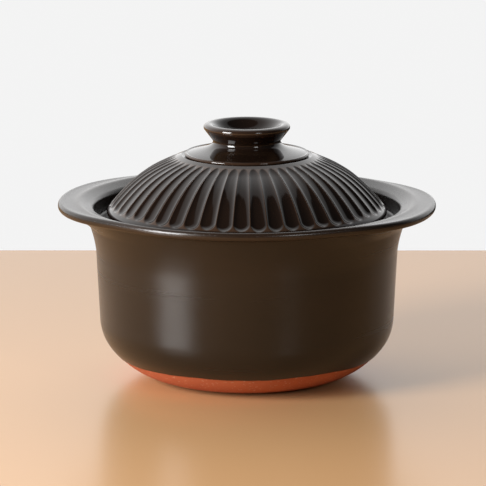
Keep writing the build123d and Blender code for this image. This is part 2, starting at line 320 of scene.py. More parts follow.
class Effects:
    """Shader node groups that several finishes share, each built once."""

    cloud_scale: float = 38.0
    cloud_detail: float = 4.0
    ring_detail: float = 2.0
    speck_detail: float = 1.0

    @staticmethod
    def group(
        name: str, inputs: dict[str, tuple[str, object]], output: tuple[str, str]
    ) -> tuple[bpy.types.NodeTree, bpy.types.Node | None, bpy.types.Node | None]:
        """Finds a node group or starts a new one.

        Args:
            name: Its name.
            inputs: Name of each input with its socket type and its default.
            output: Name and socket type of its one output.

        Returns:
            The tree, its input and output nodes, or the tree and two Nones when it was there.
        """
        found = bpy.data.node_groups.get(name)
        if found:
            return found, None, None
        tree = bpy.data.node_groups.new(name, "ShaderNodeTree")
        for label, (kind, default) in inputs.items():
            socket = tree.interface.new_socket(label, in_out="INPUT", socket_type=kind)
            if default is not None:
                socket.default_value = default
        tree.interface.new_socket(output[0], in_out="OUTPUT", socket_type=output[1])
        return tree, tree.nodes.new("NodeGroupInput"), tree.nodes.new("NodeGroupOutput")

    @classmethod
    def speckle(cls) -> bpy.types.NodeTree:
        """Makes the group that scatters small specks: iron spots in glaze, grains in clay.

        Returns:
            The group.
        """
        tree, start, end = cls.group(
            "kiln_speckle",
            {
                "Vector": ("NodeSocketVector", None),
                "Scale": ("NodeSocketFloat", 1500.0),
                "Threshold": ("NodeSocketFloat", 0.6),
                "Softness": ("NodeSocketFloat", 0.08),
            },
            ("Mask", "NodeSocketFloat"),
        )
        if start is None:
            return tree
        link = tree.links.new
        noise = fill(tree.nodes.new("ShaderNodeTexNoise"), Detail=cls.speck_detail)
        high = tree.nodes.new("ShaderNodeMath")
        span = tree.nodes.new("ShaderNodeMapRange")
        link(start.outputs["Vector"], noise.inputs["Vector"])
        link(start.outputs["Scale"], noise.inputs["Scale"])
        link(start.outputs["Threshold"], high.inputs[0])
        link(start.outputs["Softness"], high.inputs[1])
        link(noise.outputs["Fac"], span.inputs["Value"])
        link(start.outputs["Threshold"], span.inputs["From Min"])
        link(high.outputs[0], span.inputs["From Max"])
        link(span.outputs["Result"], end.inputs["Mask"])
        return tree

    @classmethod
    def wheel_rings(cls) -> bpy.types.NodeTree:
        """Makes the group of faint level rings that the wheel leaves in clay and glaze.

        Returns:
            The group.
        """
        tree, start, end = cls.group(
            "wheel_rings",
            {
                "Vector": ("NodeSocketVector", None),
                "Across": ("NodeSocketFloat", 6.0),
                "Upward": ("NodeSocketFloat", 220.0),
            },
            ("Height", "NodeSocketFloat"),
        )
        if start is None:
            return tree
        link = tree.links.new
        combine = tree.nodes.new("ShaderNodeCombineXYZ")
        stretch = tree.nodes.new("ShaderNodeVectorMath")
        stretch.operation = "MULTIPLY"
        noise = fill(tree.nodes.new("ShaderNodeTexNoise"), Scale=1.0, Detail=cls.ring_detail)
        link(start.outputs["Across"], combine.inputs["X"])
        link(start.outputs["Across"], combine.inputs["Y"])
        link(start.outputs["Upward"], combine.inputs["Z"])
        link(start.outputs["Vector"], stretch.inputs[0])
        link(combine.outputs["Vector"], stretch.inputs[1])
        link(stretch.outputs["Vector"], noise.inputs["Vector"])
        link(noise.outputs["Fac"], end.inputs["Height"])
        return tree

    @classmethod
    def breaking(cls) -> bpy.types.NodeTree:
        """Makes the group that lets glaze break to brown where it runs thin over an edge.

        Returns:
            The group.
        """
        tree, start, end = cls.group(
            "glaze_break",
            {
                "Vector": ("NodeSocketVector", None),
                "Thin": ("NodeSocketFloat", 0.0),
                "Deep Colour": ("NodeSocketColor", (0.0, 0.0, 0.0, 1.0)),
                "Thin Colour": ("NodeSocketColor", (0.1, 0.05, 0.02, 1.0)),
                "Cloud": ("NodeSocketFloat", 0.25),
            },
            ("Colour", "NodeSocketColor"),
        )
        if start is None:
            return tree
        link = tree.links.new
        noise = tree.nodes.new("ShaderNodeTexNoise")
        fill(noise, Scale=cls.cloud_scale, Detail=cls.cloud_detail)
        drift = tree.nodes.new("ShaderNodeMath")
        drift.operation = "MULTIPLY"
        add = tree.nodes.new("ShaderNodeMath")
        add.operation = "ADD"
        add.use_clamp = True
        mix = tree.nodes.new("ShaderNodeMix")
        mix.data_type = "RGBA"
        link(start.outputs["Vector"], noise.inputs["Vector"])
        link(noise.outputs["Fac"], drift.inputs[0])
        link(start.outputs["Cloud"], drift.inputs[1])
        link(start.outputs["Thin"], add.inputs[0])
        link(drift.outputs[0], add.inputs[1])
        link(add.outputs[0], mix.inputs["Factor"])
        link(start.outputs["Deep Colour"], mix.inputs["A"])
        link(start.outputs["Thin Colour"], mix.inputs["B"])
        link(mix.outputs["Result"], end.inputs["Colour"])
        return tree


def place_group(
    nodes: bpy.types.Nodes, tree: bpy.types.NodeTree, **values: object
) -> bpy.types.Node:
    """Places a node group in a material and sets its inputs.

    Args:
        nodes: Nodes of the material.
        tree: The group.
        values: Input names, with an underscore for a space, and their values.

    Returns:
        The group node.
    """
    node = nodes.new("ShaderNodeGroup")
    node.node_tree = tree
    return fill(node, **values)


def opaque(colour: Colour) -> tuple[float, float, float, float]:
    """Returns a colour with full alpha."""
    return (*colour, 1.0)


@dataclass(frozen=True)
class Glaze:
    """An iron glaze, from satin to glossy, that breaks to brown where it is thin."""

    name: str
    deep: Colour
    thin: Colour
    roughness: float
    roughness_spread: float
    ior: float
    cloud: float
    ring_depth: float
    speck_scale: float
    speck_depth: float

    def material(self) -> bpy.types.Material:
        """Makes the glaze's material on first use.

        Returns:
            The material.
        """
        found = bpy.data.materials.get(self.name)
        if found:
            return found
        material = bpy.data.materials.new(self.name)
        material.use_nodes = True
        material.diffuse_color = opaque(self.deep)
        nodes, link = material.node_tree.nodes, material.node_tree.links.new
        shader = nodes["Principled BSDF"]
        shader.inputs["IOR"].default_value = self.ior
        place = nodes.new("ShaderNodeTexCoord").outputs["Object"]
        thin = nodes.new("ShaderNodeAttribute")
        thin.attribute_name = "thin_glaze_and_sheen"
        colour = place_group(
            nodes,
            Effects.breaking(),
            Deep_Colour=opaque(self.deep),
            Thin_Colour=opaque(self.thin),
            Cloud=self.cloud,
        )
        specks = place_group(nodes, Effects.speckle(), Scale=self.speck_scale)
        rings = place_group(nodes, Effects.wheel_rings())
        rough = fill(
            nodes.new("ShaderNodeMapRange"),
            To_Min=self.roughness - self.roughness_spread,
            To_Max=self.roughness + self.roughness_spread,
        )
        waves = fill(nodes.new("ShaderNodeBump"), Distance=self.ring_depth * MM)
        grain = fill(nodes.new("ShaderNodeBump"), Distance=self.speck_depth * MM)
        for node in (colour, specks, rings):
            link(place, node.inputs["Vector"])
        link(thin.outputs["Fac"], colour.inputs["Thin"])
        link(colour.outputs["Colour"], shader.inputs["Base Color"])
        link(rings.outputs["Height"], rough.inputs["Value"])
        link(rough.outputs["Result"], shader.inputs["Roughness"])
        link(rings.outputs["Height"], waves.inputs["Height"])
        link(specks.outputs["Mask"], grain.inputs["Height"])
        link(waves.outputs["Normal"], grain.inputs["Normal"])
        link(grain.outputs["Normal"], shader.inputs["Normal"])
        return material


@dataclass(frozen=True)
class BareClay:
    """Fired red clay without glaze: matt, grainy and a little uneven in colour."""

    name: str
    pale: Colour
    deep: Colour
    grog: Colour
    roughness: float
    specular: float
    grain_depth: float
    grain_scale: float
    grain_threshold: float
    grain_softness: float
    grog_scale: float
    grog_threshold: float
    grog_softness: float
    grog_share: float

    def material(self) -> bpy.types.Material:
        """Makes the clay's material on first use.

        Returns:
            The material.
        """
        found = bpy.data.materials.get(self.name)
        if found:
            return found
        material = bpy.data.materials.new(self.name)
        material.use_nodes = True
        material.diffuse_color = opaque(self.pale)
        nodes, link = material.node_tree.nodes, material.node_tree.links.new
        shader = nodes["Principled BSDF"]
        shader.inputs["Roughness"].default_value = self.roughness
        shader.inputs["Specular IOR Level"].default_value = self.specular
        place = nodes.new("ShaderNodeTexCoord").outputs["Object"]
        cloud = place_group(
            nodes,
            Effects.breaking(),
            Thin=0.0,
            Deep_Colour=opaque(self.deep),
            Thin_Colour=opaque(self.pale),
            Cloud=1.0,
        )
        grains = place_group(
            nodes,
            Effects.speckle(),
            Scale=self.grain_scale,
            Threshold=self.grain_threshold,
            Softness=self.grain_softness,
        )
        spots = place_group(
            nodes,
            Effects.speckle(),
            Scale=self.grog_scale,
            Threshold=self.grog_threshold,
            Softness=self.grog_softness,
        )
        mix = nodes.new("ShaderNodeMix")
        mix.data_type = "RGBA"
        mix.inputs["B"].default_value = opaque(self.grog)
        share = nodes.new("ShaderNodeMath")
        share.operation = "MULTIPLY"
        share.inputs[1].default_value = self.grog_share
        bump = fill(nodes.new("ShaderNodeBump"), Distance=self.grain_depth * MM)
        for node in (cloud, grains, spots):
            link(place, node.inputs["Vector"])
        link(spots.outputs["Mask"], share.inputs[0])
        link(share.outputs[0], mix.inputs["Factor"])
        link(cloud.outputs["Colour"], mix.inputs["A"])
        link(mix.outputs["Result"], shader.inputs["Base Color"])
        link(grains.outputs["Mask"], bump.inputs["Height"])
        link(bump.outputs["Normal"], shader.inputs["Normal"])
        return material


SATIN_BLACK = Glaze(
    name="satin_black_glaze",
    deep=linear(24, 18, 13),
    thin=linear(52, 36, 24),
    roughness=0.26,
    roughness_spread=0.04,
    ior=1.5,
    cloud=0.25,
    ring_depth=0.06,
    speck_scale=1500.0,
    speck_depth=0.015,
)
GLOSSY_BLACK = Glaze(
    name="glossy_black_glaze",
    deep=linear(20, 12, 8),
    thin=linear(64, 46, 34),
    roughness=0.09,
    roughness_spread=0.02,
    ior=1.55,
    cloud=0.12,
    ring_depth=0.015,
    speck_scale=900.0,
    speck_depth=0.004,
)
RED_CLAY = BareClay(
    name="bare_red_clay",
    pale=linear(198, 112, 72),
    deep=linear(162, 74, 46),
    grog=linear(206, 156, 128),
    roughness=0.85,
    specular=0.3,
    grain_depth=0.05,
    grain_scale=1300.0,
    grain_threshold=0.55,
    grain_softness=0.15,
    grog_scale=520.0,
    grog_threshold=0.66,
    grog_softness=0.03,
    grog_share=0.5,
)


@dataclass
class Pot:
    """The pot: a round body, a flaring neck, a level rim drawn out into two ears, two ledges."""

    clay_wall: float = 9.0
    foot_radius: float = 46.8
    belly_radius: float = 54.4
    belly_turn: float = 50.0
    heel_radius: float = 31.9
    wall_tilt: float = 2.83
    neck_start_height: float = 82.6
    neck_top_height: float = 112.0
    neck_flare: float = 6.92
    neck_flare_power: float = 1.68
    crest_height: float = 116.5
    rim_thickness: float = 6.0
    rim_edge_round: float = 2.85
    rim_edge_end: float = 28.0
    rim_edge_thin: float = 0.35
    lip_radius: float = 110.79
    ear_reach: float = 12.0
    ear_spread: float = 41.0
    ear_shape_power: float = 4.0
    ear_root_height: float = 101.0
    ear_root_reach: float = 13.0
    ear_root_power: float = 1.5
    ear_dip: float = 0.45
    ear_dip_width: float = 2.6
    under_rim_round: float = 1.4
    crest_radius: float = 109.39
    crest_tilt: float = 6.0
    crest_round: float = 6.0
    crest_softness: float = 0.35
    # The crest's lighter band is thin glaze and partly a painted highlight line along the crest.
    crest_thin: float = 0.3
    crest_thin_and_sheen_width: float = 3.0
    funnel_tilt: float = 22.0
    mouth_radius: float = 99.4
    mouth_round: float = 3.5
    mouth_thin: float = 0.25
    throat_radius: float = 98.6
    gutter_round: float = 2.0
    gutter_depth: float = 4.0
    gutter_start_radius: float = 90.6
    upper_ledge_height: float = 105.6
    upper_ledge_radius: float = 86.6
    lower_ledge_height: float = 95.6
    lower_ledge_width: float = 7.0
    lower_ledge_depth: float = 5.0
    ledge_edge_round: float = 1.2
    ledge_edge_thin: float = 0.4
    glaze_line_height: float = 15.9
    # Strength, number round the pot and shift of each wave of the glaze line.
    glaze_line_waves: tuple[tuple[float, int, float], ...] = (
        (1.0, 3, 0.6),
        (0.6, 7, 2.1),
        (0.35, 17, 1.2),
        (0.2, 41, 0.0),
    )
    glaze_line_wave: float = 0.35
    glaze_line_rise: float = 1.5
    glaze_line_rise_angle: float = -44.0
    glaze_line_rise_spread: float = 22.0
    glaze_thickness: float = 0.3
    glaze_edge_width: float = 0.5
    glaze_edge_thin: float = 0.4
    glaze_edge_fade: float = 4.0
    columns: int = 360
    belly_rows: int = 34
    heel_rows: int = 26
    wall_rows: int = 14
    neck_rows: int = 34
    funnel_rows: int = 40

    def __post_init__(self) -> None:
        """Works out the angles of the columns and how far each lies in an ear."""
        self.angles = around(self.columns)
        from_ear = np.abs((np.degrees(self.angles) + 90) % 180 - 90)
        self.ear = np.exp(-((from_ear / self.ear_spread) ** self.ear_shape_power))

    def joint(self) -> Spot:
        """Works out the centre of the heel's arc.

        Returns:
            Its radius and height.
        """
        reach = self.belly_radius - self.heel_radius
        turn = math.radians(self.belly_turn)
        return (
            self.foot_radius + reach * math.sin(turn),
            self.belly_radius - reach * math.cos(turn),
        )

    def wall_start(self, inset: float) -> Spot:
        """Returns where the wall leaves the heel, inset by so much."""
        return tuple(arc(self.joint(), self.heel_radius - inset, 90 - self.wall_tilt, 0, 1)[0])

    def wall_radius(self, height: float, inset: float = 0.0) -> float:
        """Returns the radius of the leaning wall at a height, inset by so much."""
        start = self.wall_start(inset)
        return start[0] + (height - start[1]) * math.tan(math.radians(self.wall_tilt))

    def neck_radius(self, height: float) -> np.ndarray:
        """Works out the outer radius at a height, ears and all.

        Args:
            height: The height.

        Returns:
            The radius of every column.
        """
        rise = self.neck_top_height - self.neck_start_height
        share = max(0.0, (height - self.neck_start_height) / rise)
        root_rise = self.neck_top_height - self.ear_root_height
        root = max(0.0, (height - self.ear_root_height) / root_rise)
        radius = self.wall_radius(height) + self.neck_flare * share**self.neck_flare_power
        return radius + self.ear_root_reach * root**self.ear_root_power * self.ear

    def glaze_line(self) -> np.ndarray:
        """Works out where the glaze ends.

        Returns:
            The angle along the belly's arc in degrees for every column.
        """
        degrees = np.degrees(self.angles)
        wave = sum(
            strength * np.sin(self.angles * count + shift)
            for strength, count, shift in self.glaze_line_waves
        )
        away = (degrees - self.glaze_line_rise_angle + 180) % 360 - 180
        rise = self.glaze_line_rise * np.exp(-((away / self.glaze_line_rise_spread) ** 2))
        height = self.glaze_line_height + self.glaze_line_wave * wave + rise
        return np.degrees(np.arccos(1 - height / self.belly_radius))

    def belly_ring(
        self, skin: Skin, turn: np.ndarray, inset: np.ndarray, surface: Surface, thin: float
    ) -> None:
        """Adds a ring on the belly's arc.

        Args:
            skin: Skin that grows.
            turn: Angle along the arc for every column, in degrees.
            inset: How far below the glaze it lies.
            surface: Finish of the band above it.
            thin: How thin the glaze is there.
        """
        radius = self.belly_radius - inset
        radii = self.foot_radius + radius * np.sin(np.radians(turn))
        heights = self.belly_radius - radius * np.cos(np.radians(turn))
        skin.ring(radii, heights, surface, thin)

    def grow_foot(self, skin: Skin) -> None:
        """Adds the flat foot and the bare clay up to the glaze line, then the glaze's edge.

        Args:
            skin: Skin that grows.
        """
        skin.disc(self.foot_radius, 0, (0.1, 0.3, 0.6, 0.85, 0.97), Surface.CLAY)
        line = self.glaze_line()
        edge = math.degrees(self.glaze_edge_width / self.belly_radius)
        for share in np.linspace(0, 1, self.belly_rows):
            # The clay sinks below the level of the glaze over the last third of the way up.
            inset = self.glaze_thickness * max(0.0, share * 3 - 2)
            self.belly_ring(skin, (line - edge) * share, inset, Surface.CLAY, 0)
        for share in (0.35, 0.7, 1.0):
            inset = self.glaze_thickness * (1 - share) ** 2
            self.belly_ring(skin, line - edge * (1 - share), inset, Surface.GLAZE, 1 - share / 2)
        for share in (0.06, 0.14, 0.25, 0.4, 0.6, 0.8):
            turn = line + (self.belly_turn - line) * share
            thin = max(0.0, self.glaze_edge_thin - share * self.glaze_edge_fade)
            self.belly_ring(skin, turn, 0.0, Surface.GLAZE, thin)

    def grow_wall(self, skin: Skin) -> None:
        """Adds the heel, the wall and the neck up to the rim's underside.

        Args:
            skin: Skin that grows.
        """
        end = 90 - self.wall_tilt
        skin.path(arc(self.joint(), self.heel_radius, self.belly_turn, end, self.heel_rows))
        start = self.wall_start(0)[1]
        low = np.linspace(start, self.neck_start_height, self.wall_rows)[1:]
        top = self.crest_height - self.rim_thickness - self.under_rim_round
        high = np.linspace(self.neck_start_height, top, self.neck_rows)[1:]
        for height in (*low, *high):
            skin.ring(self.neck_radius(height), height)

    def grow_corner(self, skin: Skin) -> None:
        """Adds the soft corner between the neck and the rim's underside.

        Args:
            skin: Skin that grows.
        """
        under = self.crest_height - self.rim_thickness
        corner = self.neck_radius(under)
        below = self.neck_radius(under - self.under_rim_round)
        for share in np.linspace(0, 1, 7)[1:]:
            radius = (1 - share) ** 2 * below + 2 * (1 - share) * share * corner
            radius = radius + share**2 * (corner + self.under_rim_round)
            skin.ring(radius, under - self.under_rim_round * (1 - share) ** 2)

    def grow_lip(self, skin: Skin) -> None:
        """Adds the rim's underside, its rounded edge and its top down to the mouth.

        Args:
            skin: Skin that grows.
        """
        under = self.crest_height - self.rim_thickness
        lip = self.lip_radius + self.ear_reach * self.ear
        centre = lip - self.rim_edge_round
        for turn in np.radians(np.linspace(0, 90, 13)):
            radius = centre + self.rim_edge_round * math.sin(turn)
            height = under + self.rim_edge_round * (1 - math.cos(turn))
            skin.ring(radius, height, thin=self.rim_edge_thin * math.sin(turn))
        for turn in np.radians(np.linspace(90, self.rim_edge_end, 12)):
            self.top_ring(skin, centre + self.rim_edge_round * math.sin(turn), lip)
        crest = centre + self.rim_edge_round * math.sin(math.radians(self.rim_edge_end))
        inner = self.funnel_end()[0]
        for share in np.linspace(0, 1, self.funnel_rows)[1:]:
            self.top_ring(skin, crest + (inner - crest) * share, lip)

    def crest_centre(self) -> Spot:
        """Works out the centre of the arc that rounds the crest of the rim.

        Returns:
            Its radius and height.
        """
        slope = math.radians(self.crest_tilt)
        return (
            self.crest_radius + self.crest_round * math.sin(slope),
            self.crest_height - self.crest_round * math.cos(slope),
        )

    def funnel_end(self) -> Spot:
        """Works out where the funnel meets the round of the mouth.

        Returns:
            The radius and the height of the place.
        """
        tilt = math.radians(self.funnel_tilt)
        radius = self.mouth_radius + self.mouth_round * (1 - math.sin(tilt))
        return radius, float(self.funnel_height(np.array([radius]))[0])

    def funnel_height(self, radius: np.ndarray) -> np.ndarray:
        """Works out the height of the funnel, or of the crest's arc where that begins.

        Args:
            radius: Radius of every column.

        Returns:
            The height of every column.
        """
        tilt, centre = math.radians(self.funnel_tilt), self.crest_centre()
        top = centre[0] - self.crest_round * math.sin(tilt)
        top_height = centre[1] + self.crest_round * math.cos(tilt)
        reach = np.clip(centre[0] - radius, 0, self.crest_round)
        rounded = centre[1] + np.sqrt(self.crest_round**2 - reach**2)
        straight = top_height - (top - radius) * math.tan(tilt)
        return np.where(radius > top, rounded, straight)

    def top_ring(self, skin: Skin, radius: np.ndarray, lip: np.ndarray) -> None:
        """Adds a ring on the rim's top, where its rounded edge and the funnel meet softly.

        Args:
            skin: Skin that grows.
            radius: Radius of every column.
            lip: Outermost radius of every column.
        """
        centre = lip - self.rim_edge_round
        reach = np.clip(radius - centre, 0, self.rim_edge_round)
        edge = self.crest_height - self.rim_edge_round
        edge = edge + np.sqrt(np.maximum(0, self.rim_edge_round**2 - reach**2))
        over = edge - self.funnel_height(radius)
        beyond = np.maximum(0, (radius - self.crest_radius) / self.ear_dip_width)
        inside = np.clip((lip - radius) / self.rim_thickness, 0, 1)
        hollow = (1 - np.exp(-(beyond**2))) * inside**2 * (3 - 2 * inside)
        dip = self.ear_dip * self.ear * hollow
        height = edge - soft_positive(over, self.crest_softness) - dip
        # Lighter band along the crest: thin glaze, and partly a painted highlight line.
        from_crest = (radius - self.crest_radius) / self.crest_thin_and_sheen_width
        skin.ring(radius, height, thin=np.exp(-(from_crest**2)) * self.crest_thin)

    def grow_mouth(self, skin: Skin) -> None:
        """Adds the mouth's round, the gutter and the two ledges.

        Args:
            skin: Skin that grows.
        """
        end = self.funnel_end()
        tilt = math.radians(self.funnel_tilt)
        centre = (
            self.mouth_radius + self.mouth_round,
            end[1] - self.mouth_round * math.cos(tilt),
        )
        mouth = arc(centre, self.mouth_round, 180 + self.funnel_tilt, 270, 12)
        skin.path(mouth[1:], thin=self.mouth_thin)
        self.grow_gutter(skin)
        step = self.ledge_edge_round
        self.step_down(skin, self.upper_ledge_radius, self.upper_ledge_height)
        fillet = (self.upper_ledge_radius - step / 2, self.lower_ledge_height + step / 2)
        skin.path(arc(fillet, step / 2, 90, 0, 4))
        self.step_down(skin, self.lower_ledge_radius(), self.lower_ledge_height)

    def grow_gutter(self, skin: Skin) -> None:
        """Adds the groove that the lid's bead stands in, then the face of the upper ledge.

        Args:
            skin: Skin that grows.
        """
        gutter = (
            self.throat_radius - self.gutter_round,
            self.upper_ledge_height - self.gutter_depth + self.gutter_round,
        )
        skin.path(arc(gutter, self.gutter_round, 90, 0, 8))
        start = self.gutter_start_radius
        for share in (0.3, 0.7, 0.95):
            skin.ring(gutter[0] + (start - gutter[0]) * share, gutter[1] - self.gutter_round)
        for share in (0.1, 0.5, 0.9):
            skin.ring(start, self.upper_ledge_height - self.gutter_depth * (1 - share))
        face = np.linspace(start, self.upper_ledge_radius + self.ledge_edge_round, 7)
        for radius in face[:-1]:
            skin.ring(radius, self.upper_ledge_height)

    def lower_ledge_radius(self) -> float:
        """Returns the inner radius of the lower ledge."""
        return self.upper_ledge_radius - self.lower_ledge_width

    def step_down(self, skin: Skin, radius: float, height: float) -> None:
        """Adds the rounded inner edge of a ledge.

        Args:
            skin: Skin that grows.
            radius: Inner radius of the ledge.
            height: Height of the ledge.
        """
        step = self.ledge_edge_round
        centre = (radius + step, height - step)
        skin.path(arc(centre, step, 180, 270, 7), thin=self.ledge_edge_thin)

    def grow_inside(self, skin: Skin) -> None:
        """Adds the undercut of the ledges and the cooking space down to the floor's middle.

        Args:
            skin: Skin that grows.
        """
        undercut = self.lower_ledge_height - self.lower_ledge_depth
        inner = self.lower_ledge_radius()
        widest = self.wall_radius(undercut, self.clay_wall)
        start = undercut - (widest - inner)
        skin.ring(inner, undercut + self.ledge_edge_round)
        skin.ring(inner, undercut)
        for share in (0.3, 0.7):
            skin.ring(inner + (widest - inner) * share, undercut - (undercut - start) * share)
        for height in np.linspace(start, self.wall_start(self.clay_wall)[1], 12)[:-1]:
            skin.ring(self.wall_radius(height, self.clay_wall), height)
        heel = self.heel_radius - self.clay_wall
        skin.path(arc(self.joint(), heel, 90 - self.wall_tilt, self.belly_turn, 14))
        belly = self.belly_radius - self.clay_wall
        centre = (self.foot_radius, self.belly_radius)
        skin.path(arc(centre, belly, self.belly_turn, 0, 16)[1:])
        skin.disc(self.foot_radius, self.clay_wall, (0.8, 0.5, 0.2, 0.05))

    def build(self) -> None:
        """Builds and dresses the pot."""
        skin = Skin(self.angles)
        self.grow_foot(skin)
        self.grow_wall(skin)
        self.grow_corner(skin)
        self.grow_lip(skin)
        self.grow_mouth(skin)
        self.grow_inside(skin)
        piece = skin.piece("glazed_pot", [SATIN_BLACK.material(), RED_CLAY.material()])
        nodes = ("pot_floor", "pot_heel", "pot_wall", "pot_rim")
        settle(piece, Body.POT, Slot.POT, BODY_CREASE, *nodes)


@dataclass
class OuterLid:
    """The outer lid: a dome with carved flutes on a thick bead, and a ring that centres it."""

    crown_radius: float = 42.5
    crown_height: float = 146.3
    crown_step: float = 0.8
    crown_round: float = 0.5
    crown_thin: float = 0.3
    groove_depth: float = 0.4
    collar_radius: float = 40.45
    foot_radius: float = 89.0
    foot_height: float = 112.7
    crown_tilt: float = 24.0
    crown_pull: float = 20.0
    foot_tilt: float = 51.0
    foot_pull: float = 30.0
    wall: float = 7.0
    hollow_bend: float = 1.1
    bead_radius: float = 92.7
    bead_height: float = 109.6
    bead_seat_radius: float = 90.0
    seat_height: float = 105.6
    ring_radius: float = 85.8
    ring_width: float = 4.2
    ring_drop: float = 2.5
    ring_round: float = 0.8
    flute_count: int = 50
    flute_turn: float = 2.1
    flute_top_radius: float = 45.6
    flute_bottom_radius: float = 88.9
    flute_top_depth: float = 0.75
    flute_bottom_depth: float = 1.7
    ridge_share: float = 0.03
    ridge_softness: float = 0.06
    ridge_thin: float = 0.8
    ridge_thin_edge: float = 7.0
    plain_thin: float = 0.15
    hollow_power: float = 1.45
    top_fade: float = 9.0
    turn_spread: float = 0.09
    depth_spread: float = 0.05
    length_spread: float = 0.35
    flute_columns: int = 20
    dome_rows: int = 150
    hole_radius: float = 4.0
    hole_place_radius: float = 66.0
    hole_flute: int = 24
    hole_flare: float = 0.8
    hole_reach: float = 12.0
    seed: int = 11

    def __post_init__(self) -> None:
        """Works out the angle of every column and its place across its flute."""
        pitch = 2 * math.pi / self.flute_count
        draw = np.random.default_rng(self.seed)
        ridges = math.radians(self.flute_turn - 90) + np.arange(self.flute_count) * pitch
        ridges += draw.normal(0, math.radians(self.turn_spread), self.flute_count)
        ends = np.append(ridges[1:], ridges[0] + 2 * math.pi)
        steps = (1 - np.cos(np.pi * np.arange(self.flute_columns) / self.flute_columns)) / 2
        self.angles = (ridges[:, None] + (ends - ridges)[:, None] * steps).ravel()
        self.across = np.tile(np.abs(steps - 0.5) * 2, self.flute_count)
        depths = 1 + draw.normal(0, self.depth_spread, self.flute_count)
        shifts = draw.normal(0, self.length_spread, self.flute_count)
        self.depth = np.repeat(depths, self.flute_columns)
        self.shift = np.repeat(shifts, self.flute_columns)

    def curve(self) -> list[Spot]:
        """Works out the control points of the dome's meridian.

        Returns:
            Four spots, from the crown out to the foot.
        """
        crown, foot = math.radians(self.crown_tilt), math.radians(self.foot_tilt)
        return [
            (self.crown_radius, self.crown_height),
            (
                self.crown_radius + self.crown_pull * math.cos(crown),
                self.crown_height - self.crown_pull * math.sin(crown),
            ),
            (
                self.foot_radius - self.foot_pull * math.cos(foot),
                self.foot_height + self.foot_pull * math.sin(foot),
            ),
            (self.foot_radius, self.foot_height),
        ]

    def meridian(self, count: int) -> tuple[np.ndarray, np.ndarray]:
        """Samples the dome's meridian.

        Args:
            count: How many points.

        Returns:
            Rows of radius and height, and rows of the outward normal.
        """
        spots = bezier(self.curve(), count)
        run = np.gradient(spots, axis=0)
        run /= np.linalg.norm(run, axis=1)[:, None]
        return spots, np.stack([-run[:, 1], run[:, 0]], 1)

    def hollow(self, along: float, lengths: tuple[float, float], radius: float) -> np.ndarray:
        """Works out how deep the flutes are at one ring.

        Args:
            along: Length along the meridian from the crown's edge.
            lengths: The same length at the flutes' upper and lower ends.
            radius: Radius of the ring.

        Returns:
            Share of the full depth for every column.
        """
        half = math.pi * radius / self.flute_count * (1 - self.ridge_share)
        across = self.across / (1 - self.ridge_share)
        above = (lengths[0] + self.top_fade - along) / self.top_fade
        below = (along - (lengths[1] + self.shift - half)) / half
        past = np.maximum(0, np.maximum(above, below))
        share = 1 - (across**2 + past**2) ** self.hollow_power
        return soft_positive(share, self.ridge_softness)

    def grow_under(self, skin: Skin) -> None:
        """Adds the underside: the hollow, the centring ring and the seat under the bead.

        Args:
            skin: Skin that grows.
        """
        spots, normals = self.meridian(24)
        under = spots - normals * self.wall
        ring_inner = self.ring_radius - self.ring_width
        ring_top = self.seat_height - self.ring_drop + self.ring_round
        ceiling = self.crown_height - self.crown_step - self.wall
        skin.disc(under[0, 0], ceiling, (0.1, 0.4, 0.7))
        inside = under[under[:, 0] < ring_inner - self.wall / 2]
        skin.path(inside)
        last = tuple(inside[-1])
        bend = (ring_inner, last[1] - (ring_inner - last[0]) * self.hollow_bend)
        skin.path(bezier([last, bend, (ring_inner, ring_top)], 9)[1:])
        clay = Surface.CLAY
        inner = (ring_inner + self.ring_round, ring_top)
        outer = (self.ring_radius - self.ring_round, ring_top)
        skin.path(arc(inner, self.ring_round, -90, 0, 6), clay)
        skin.path(arc(outer, self.ring_round, 0, 90, 6), clay)
        skin.ring(self.ring_radius, self.seat_height - self.ring_round / 2, clay)
        skin.ring(self.ring_radius + self.ring_round / 2, self.seat_height, clay)
        skin.ring(self.bead_seat_radius - self.ring_round, self.seat_height, clay)

    def grow_dome(self, skin: Skin) -> None:
        """Adds the bead and the fluted dome, from its foot up to the crown's edge.

        Args:
            skin: Skin that grows.
        """
        spots, normals = self.meridian(self.dome_rows)
        foot = tuple(spots[-1])
        knee = (self.bead_radius, self.bead_height)
        bead = [(self.bead_seat_radius, self.seat_height), knee, foot]
        skin.path(bezier(bead, 14)[:-1])
        legs = np.linalg.norm(np.diff(spots, axis=0), axis=1)
        along = np.append(0, np.cumsum(legs))
        ends = tuple(
            float(np.interp(radius, spots[:, 0], along))
            for radius in (self.flute_top_radius, self.flute_bottom_radius)
        )
        for row in reversed(range(self.dome_rows)):
            done = min(1.0, max(0.0, (along[row] - ends[0]) / (ends[1] - ends[0])))
            full = self.flute_top_depth + (self.flute_bottom_depth - self.flute_top_depth) * done
            share = self.hollow(along[row], ends, spots[row, 0])
            sunk = full * share * self.depth
            thinnest = self.ridge_thin if 0 < done < 1 else self.plain_thin
            thin = np.clip(1 - share * self.ridge_thin_edge, 0, 1) * thinnest
            radius = spots[row, 0] - normals[row, 0] * sunk
            skin.ring(radius, spots[row, 1] - normals[row, 1] * sunk, thin=thin)

    def grow_crown(self, skin: Skin) -> None:
        """Adds the step inside the crown's edge and the flat seat of the knob.

        Args:
            skin: Skin that grows.
        """
        seat = self.crown_height - self.crown_step
        groove = self.crown_height - self.groove_depth
        centre = (self.crown_radius, self.crown_height - self.crown_round)
        turn = 180 + math.degrees(math.acos(1 - self.groove_depth / self.crown_round / 2))
        last = arc(centre, self.crown_round, 180, turn, 6)
        skin.path(last[1:], thin=self.crown_thin)
        low = tuple(last[-1])
        bottom = [low, (low[0] - self.crown_round, groove), (self.collar_radius, groove)]
        skin.path(bezier(bottom, 8)[1:])
        skin.disc(self.collar_radius, seat, (1.0, 0.97, 0.7, 0.4, 0.1))

